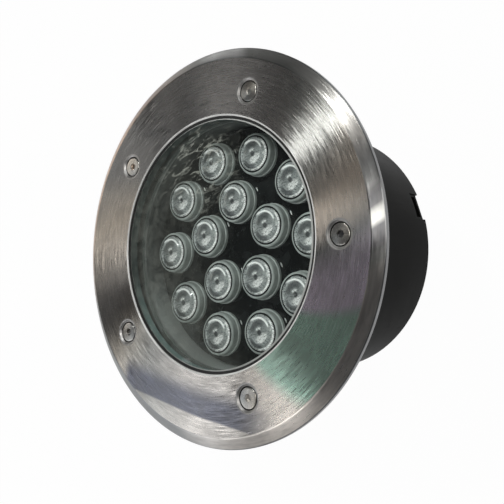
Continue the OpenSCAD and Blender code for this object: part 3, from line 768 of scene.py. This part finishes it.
steel_dark = (0.08, 0.08, 0.085, 1)
steel_green = (0.45, 0.66, 0.57, 1)
steel_lilac = (0.72, 0.65, 0.78, 1)
steel_rose = (0.60, 0.47, 0.39, 1)
gap_shade_black = (0.02, 0.019, 0.018, 1)
tint_r = 70 * mm
tint_skew = 1.2
# Painted reflections, highlights and shades of the face and of the bevel, as tints by their turn
# round the axis, as a share of a whole turn.
face_reflection_tints = [
    (0.00, steel_pale), (0.04, steel_warm), (0.10, steel_bright), (0.17, steel_pale),
    (0.28, steel_pale), (0.295, steel_green), (0.372, steel_green), (0.382, steel_lilac),
    (0.41, steel_lilac), (0.443, steel_dim), (0.485, steel_peach), (0.53, steel_bright),
    (0.58, steel_bright), (0.605, steel_pale), (0.70, steel_pale), (0.80, steel_dim),
    (0.86, steel_dim), (0.92, steel_warm), (1.00, steel_pale),
]
bevel_reflection_tints = [
    (0.00, steel_plain), (0.06, steel_dim), (0.14, steel_dim), (0.20, steel_pale),
    (0.403, steel_pale), (0.41, steel_plain), (0.42, steel_dark), (0.434, steel_dark),
    (0.438, steel_plain), (0.444, steel_plain), (0.448, steel_dark), (0.46, steel_dark),
    (0.475, steel_white), (0.50, steel_pale), (0.56, steel_bright), (0.60, steel_plain),
    (0.64, steel_plain), (0.65, steel_white), (0.68, steel_white), (0.70, steel_plain),
    (0.78, steel_rose), (0.92, steel_rose), (1.00, steel_plain),
]
pocket_tints = [(0, steel_pressed), (1, steel_pressed)]
band_turn = math.radians(-120)
band_slant = 2.5 * mm
band_slant_l = 45 * mm
band_in = (61 * mm, 70 * mm)
band_out = (77.4 * mm, 76.2 * mm)
band_low = (-46 * mm, -40 * mm)
band_high = (56 * mm, 30 * mm)
reflection_blue = (0.17, 0.18, 0.23, 1)
lip_r = 59 * mm


def on_reflection_band(x, y):
    """1 on a straight band of painted blue reflection across one side of the face, eased to 0 at
    its sides and ends.
    """
    beside = y * math.cos(band_turn) - x * math.sin(band_turn)
    reach = x * math.cos(band_turn) + y * math.sin(band_turn)
    reach += beside.fade(0, band_slant_l) * band_slant
    inside = reach.fade(*band_in) * reach.fade(*band_out)
    return inside * (beside.fade(*band_low) * beside.fade(*band_high))


def brushed(name, tints, line, rough, depth, anisotropy, play, shade_z=0, band=0, lip=0):
    """Steel brushed round its object's axis, in lines that wander by the play.

    Painted shade darkens what lies below its height, away from the axis. Band is the share of the
    painted blue reflection on the face's band, and lip turns on two rolled edges: a painted
    highlight makes the edge round the opening pale and dull, with painted shade under it, and
    painted shade dims the rim.
    """
    finish = new_finish(name)
    place = finish.place()
    x, y, height = finish.axes(place)
    radius = (x * x + y * y) ** 0.5
    across = x / radius
    along = y / radius

    def lines(width, length):
        stretched = finish.node("CombineXYZ", {}, {
            "X": radius / width, "Y": across * length, "Z": along * length,
        })
        return finish.noise(stretched, 1, 2, 0.6)

    fine = lines(line, 14)
    broad = lines(line * 5, 7)
    swing = (lines(line * 1.2, 7) - 0.5) * play
    tangent = finish.node("CombineXYZ", {}, {"X": along * -1, "Y": across})
    upright = finish.node("NewGeometry", output="Normal")
    swung = finish.node("VectorMath", {"operation": "MULTIPLY_ADD"}, {
        0: tangent, 1: swing, 2: upright,
    })
    cloud = finish.noise(place, 0.05 / mm, 4, 0.55, 0.8)
    share = along.math("ARCTAN2", y, x) / (2 * math.pi) + (tint_r - radius) * tint_skew + 0.5
    # The colour by the turn round the axis paints reflections, highlights and shades into the
    # steel.
    colour = finish.node("ValToRGB", {"stops": tints}, {0: share})
    # Painted reflection: a blue band across one side of the face.
    colour = finish.tint(on_reflection_band(x, y) * band, colour, reflection_blue)
    rolled = radius.fade(lip_r + 0.4 * mm, lip_r) * lip
    outer = radius.fade(ring_r - 0.6 * mm, ring_r - 0.25 * mm) * lip
    # Painted highlight: the lip round the opening is pale, and made dull and less metallic so that
    # it shows.
    colour = finish.tint(rolled, colour, steel_white)
    # Painted shade: the rolled edge of the rim is dimmed.
    colour = finish.tint(outer, colour, steel_dim)
    darker = finish.tint(0.35, colour, steel_worn)
    marks = broad * 0.5 + cloud * 0.5
    worn = finish.tint(marks.fade(0.62, 0.35), colour, darker)
    # Painted shade: dark below the height, away from the axis, as in the gaps round the screw
    # heads.
    gap_shade = height.fade(shade_z - 0.03 * mm, shade_z - 0.12 * mm) * radius.fade(2.4 * mm, 3 * mm)
    # Painted shade under the lip round the opening.
    gap_shade += height.fade(face_z - 0.35 * mm, face_z - 0.6 * mm) * rolled
    return finish.close(finish.node("BsdfPrincipled", {}, {
        "Base Color": finish.tint(gap_shade, worn, gap_shade_black),
        "Metallic": rolled * -0.7 + 1,
        "Roughness": rough + fine * 0.12 - cloud * 0.06 + rolled * 0.25,
        "Anisotropic": anisotropy,
        "Anisotropic Rotation": 0.25,
        "Normal": finish.bump(fine * 0.7 + broad * 0.3, depth, 0.5, swung),
    }))


face_steel = brushed(
    "ring_brushed", face_reflection_tints, line=0.26 * mm, rough=0.25, depth=0.008 * mm,
    anisotropy=1, play=0.24, band=0.9,
)
bevel_steel = brushed(
    "ring_turned", bevel_reflection_tints, line=0.30 * mm, rough=0.27, depth=0.008 * mm,
    anisotropy=0.95, play=0.12, lip=1,
)
pocket_steel = brushed(
    "ring_pressed", pocket_tints, line=0.5 * mm, rough=0.42, depth=0.02 * mm,
    anisotropy=0, play=0, shade_z=pocket_z,
)

ring = bmesh.new()
under = [
    (ring_r - sheet, rim_z, 0.2 * mm), (ring_r - sheet, under_bevel_z, 0.4 * mm),
    (bevel_r - 0.55 * mm, face_z - sheet, 0.6 * mm), (window_r + sheet, face_z - sheet, 0.8 * mm),
    (window_r + sheet, lip_z, 0.2 * mm), (window_r, lip_z, 0.2 * mm),
]
ring_outline = rounded([
    (bevel_r - 0.5 * mm, face_z, 0), (bevel_r, face_z, 1 * mm),
    (ring_r, face_z - bevel_drop, 0.5 * mm), (ring_r, rim_z, 0.3 * mm), *under,
    (window_r, face_z, 0.55 * mm), (window_r + 0.8 * mm, face_z, 0),
])
rings = turn_into(ring, ring_outline, ring_sides, material=1)
pocket_outline = rounded([
    (pocket_r + pocket_slope + 0.6 * mm, face_z, 0),
    (pocket_r + pocket_slope, face_z, pocket_bend),
    (pocket_r, pocket_z, 0.2 * mm), (seat_r, pocket_z, 0.05 * mm),
    (seat_r - seat_h, pocket_z - seat_h, 0),
])
holes = [
    turn_into(ring, pocket_outline, pocket_sides, spot.xy, material=2)[0] for spot in screw_spots
]
for spot in screw_spots:
    turn_into(ring, [
        (pocket_r + pocket_slope, face_z - sheet), (pocket_r, pocket_z - sheet),
        (screw_hole_r, pocket_z - sheet),
    ], pocket_sides, spot.xy, material=2)
face_edges = [
    ring.edges.get((loop[i - 1], loop[i]))
    for loop in [rings[0], rings[-1], *holes] for i in range(len(loop))
]
fill = bmesh.ops.triangle_fill(ring, use_beauty=True, edges=face_edges)
for face in fill["geom"]:
    if isinstance(face, bmesh.types.BMFace):
        face.material_index = 0
        face.smooth = False
ring_data = finished("ring_plate", ring, face_steel, bevel_steel, pocket_steel, crease=25)
place_piece("ring_plate", ring_data, "ring_steel", "cover_ring")

# Cover screws. Five stainless countersunk screws with a hex socket and a turned head, which lies
# level with the pocket's floor inside a gap darkened by painted shade. A warm painted reflection
# lies on one side of each head and socket.
head_r = 4.5 * mm
head_z = pocket_z
rim_h = 0.9 * mm
key_w = 3 * mm
socket_r = key_w / 2 / math.cos(math.radians(30))
socket_depth = 2 * mm
socket_bevel = 0.25 * mm
socket_sides = 6
shank_r = 2.4 * mm
tip_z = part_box("cover_screws")[0].z
tip_bevel = 0.3 * mm
screw_sides = 64
screw_turn = 0.7
screw_grey = (0.60, 0.61, 0.60, 1)
screw_glint_gold = (0.68, 0.63, 0.56, 1)
# Painted reflection: a warm glint by the turn round the screw's axis.
screw_glint_tints = [(0, screw_grey), (0.5, screw_glint_gold), (1, screw_grey)]

screw_steel = brushed(
    "screw_steel", screw_glint_tints, line=0.35 * mm, rough=0.26, depth=0.12 * mm,
    anisotropy=0.6, play=0.14, shade_z=head_z - 0.3 * mm,
)
screw = bmesh.new()
head_ring = turn_into(screw, rounded([
    (head_r - 0.8 * mm, head_z, 0), (head_r, head_z, 0.3 * mm), (head_r, head_z - rim_h, 0),
    (shank_r, head_z - rim_h - head_r + shank_r, 0), (shank_r, tip_z + tip_bevel, 0),
    (shank_r - tip_bevel, tip_z, 0), (0, tip_z, 0),
]), screw_sides)[0]


def socket_ring(r, z):
    """The six corners of the hex socket at a height."""
    turns = [2 * math.pi * i / socket_sides for i in range(socket_sides)]
    return [screw.verts.new((r * math.cos(turn), r * math.sin(turn), z)) for turn in turns]


socket = [
    socket_ring(socket_r + socket_bevel, head_z), socket_ring(socket_r, head_z - socket_bevel),
    socket_ring(socket_r, head_z - socket_depth),
]
for high, low in zip(socket, socket[1:]):
    for i in range(socket_sides):
        screw.faces.new([high[i - 1], high[i], low[i], low[i - 1]])
screw.faces.new(socket[-1])
head_edges = [
    screw.edges.get((loop[i - 1], loop[i])) for loop in [head_ring, socket[0]]
    for i in range(len(loop))
]
bmesh.ops.triangle_fill(screw, use_beauty=True, edges=head_edges)
screw_data = finished("cover_screw", screw, screw_steel)
for i, spot in enumerate(screw_spots):
    place_piece("cover_screw_%d" % (i + 1), screw_data, "screw_steel", "cover_screws", at=spot,
                turn=i * screw_turn)
dress(screw_steel, "driver_screws")
